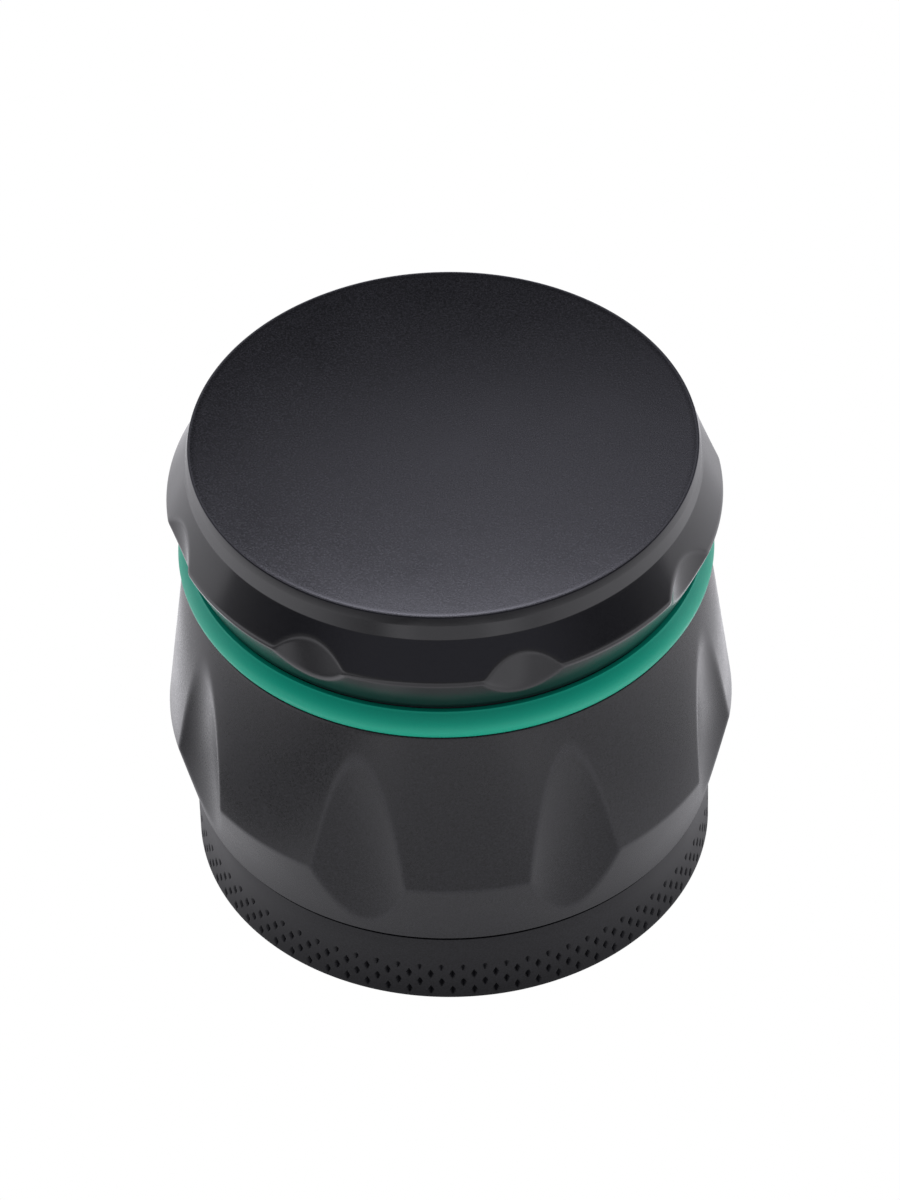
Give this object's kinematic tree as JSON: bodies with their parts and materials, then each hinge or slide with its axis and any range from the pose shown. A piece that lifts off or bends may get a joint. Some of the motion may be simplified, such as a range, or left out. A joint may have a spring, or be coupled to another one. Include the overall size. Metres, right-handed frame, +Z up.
{
  "type": "herb and spice grinder",
  "caption": "Small four-part drum grinder: dished lid with grip notches, green accent ring, fluted drum with a sifting screen, and a knurled base cup.",
  "frame": {"origin": "middle of the base's underside, on the table", "axes": "+Z up along the axis that all the round parts share; -Y towards the picture's camera"},
  "size_m": [0.0654, 0.0654, 0.0596],
  "materials": {
    "base_black": "satin",
    "seal_rubber": "matte",
    "drum_black": "satin",
    "stainless": "satin",
    "screen_wire": "satin",
    "accent_green": "satin",
    "chamber_black": "satin",
    "teeth_black": "satin",
    "magnet_nickel": "gloss",
    "glide_nylon": "matte",
    "lid_black": "satin"
  },
  "bodies": {
    "base": {"base_cup": "base_black"},
    "drum_carrier": {"joint_seal": "seal_rubber"},
    "drum": {"collection_drum": "drum_black", "screen_frame": "stainless", "screen_mesh": "screen_wire", "screen_retainer": "stainless"},
    "chamber_carrier": {"accent_ring": "accent_green"},
    "chamber": {"grinding_chamber": "chamber_black", "chamber_teeth": "teeth_black", "chamber_magnet": "magnet_nickel"},
    "lid_carrier": {"glide_ring": "glide_nylon"},
    "lid": {"lid_shell": "lid_black", "lid_teeth": "teeth_black", "lid_magnet": "magnet_nickel"}
  },
  "joints": [
    {"name": "drum_lift", "type": "slide", "parent": "base", "child": "drum_carrier", "axis": [0, 0, 1], "range_m": [0, 0.0241]},
    {"name": "drum_turn", "type": "hinge", "parent": "drum_carrier", "child": "drum", "pos_m": [0, 0, 0.01], "axis": [0, 0, 1], "range_deg": [0, 1080]},
    {"name": "chamber_lift", "type": "slide", "parent": "drum", "child": "chamber_carrier", "axis": [0, 0, 1], "range_m": [0, 0.0241]},
    {"name": "chamber_turn", "type": "hinge", "parent": "chamber_carrier", "child": "chamber", "pos_m": [0, 0, 0.042], "axis": [0, 0, 1], "range_deg": [0, 1080]},
    {"name": "lid_lift", "type": "slide", "parent": "chamber", "child": "lid_carrier", "axis": [0, 0, 1], "range_m": [0, 0.022]},
    {"name": "lid_turn", "type": "hinge", "parent": "lid_carrier", "child": "lid", "pos_m": [0, 0, 0.05], "axis": [0, 0, 1], "continuous": true}
  ],
  "couplings": [
    {"joint": "drum_lift", "follows": "drum_turn", "m_per_rad": 0.0012732},
    {"joint": "chamber_lift", "follows": "chamber_turn", "m_per_rad": 0.0012732}
  ]
}
